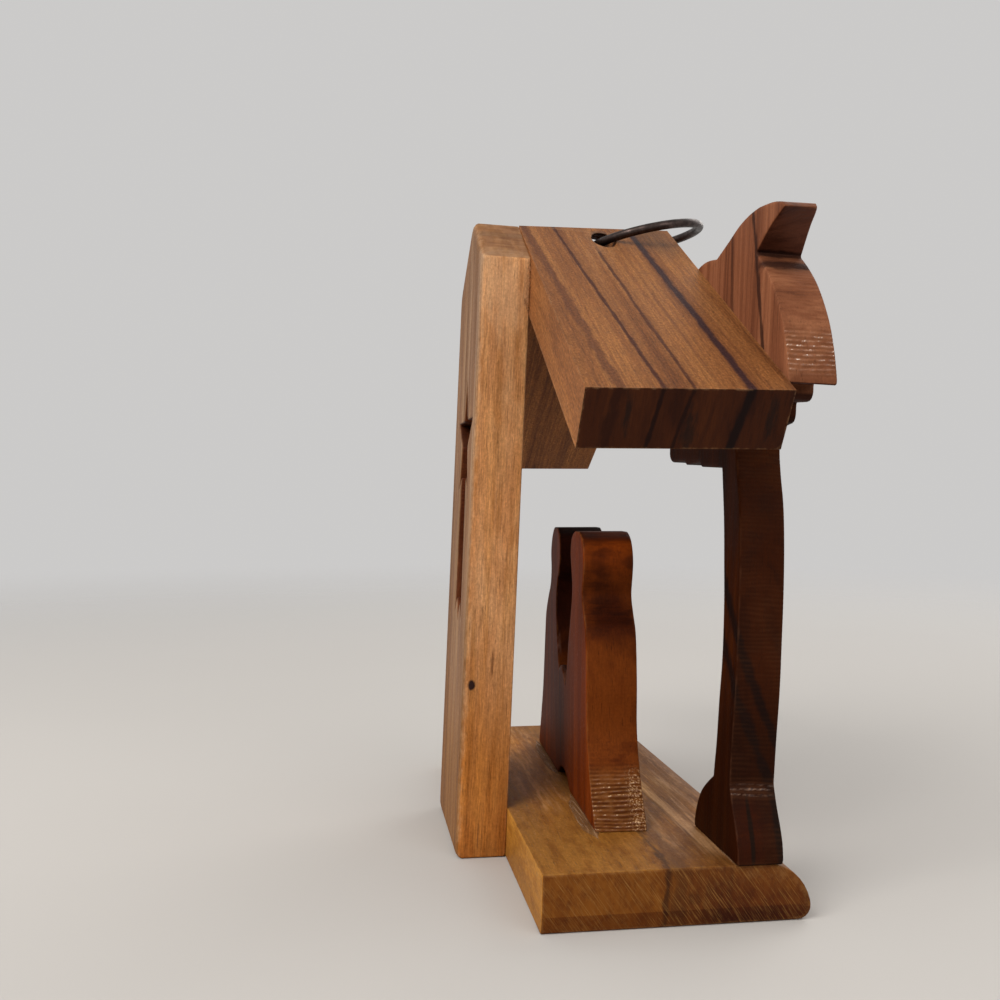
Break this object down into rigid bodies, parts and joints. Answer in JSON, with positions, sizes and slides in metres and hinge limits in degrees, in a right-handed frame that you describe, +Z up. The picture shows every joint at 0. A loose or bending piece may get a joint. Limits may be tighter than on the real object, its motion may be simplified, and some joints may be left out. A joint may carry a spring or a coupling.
{
  "type": "nativity ornament",
  "caption": "Hanging wooden stable ornament: gabled post with a pierced comet star, sloped roof planks, base plate, sawn family figures, palm tree and a swinging wire ring.",
  "frame": {"origin": "centre of the bounding box on the ground, where the base plate and the post stand", "axes": "+Z up, +X to the right as seen from the front, -Y towards the front, where the palm stands"},
  "size_m": [0.096, 0.0369, 0.0858],
  "materials": {
    "post_wood": "satin varnish",
    "base_wood": "satin varnish",
    "roof_wood": "satin varnish",
    "figure_wood": "satin varnish",
    "palm_wood": "satin varnish",
    "ring_wire": "dark, half gloss"
  },
  "bodies": {
    "stable": {"back_post": "post_wood", "base_plate": "base_wood", "roof_plank_left": "roof_wood", "roof_plank_right": "roof_wood", "family_figures": "figure_wood", "palm_tree": "palm_wood"},
    "ring": {"hanger_ring": "ring_wire"}
  },
  "joints": [
    {"name": "ring_hinge", "type": "hinge", "parent": "stable", "child": "ring", "pos_m": [0, -0.00284, 0.0822], "axis": [-1, 0, 0], "range_deg": [0, 152]}
  ]
}
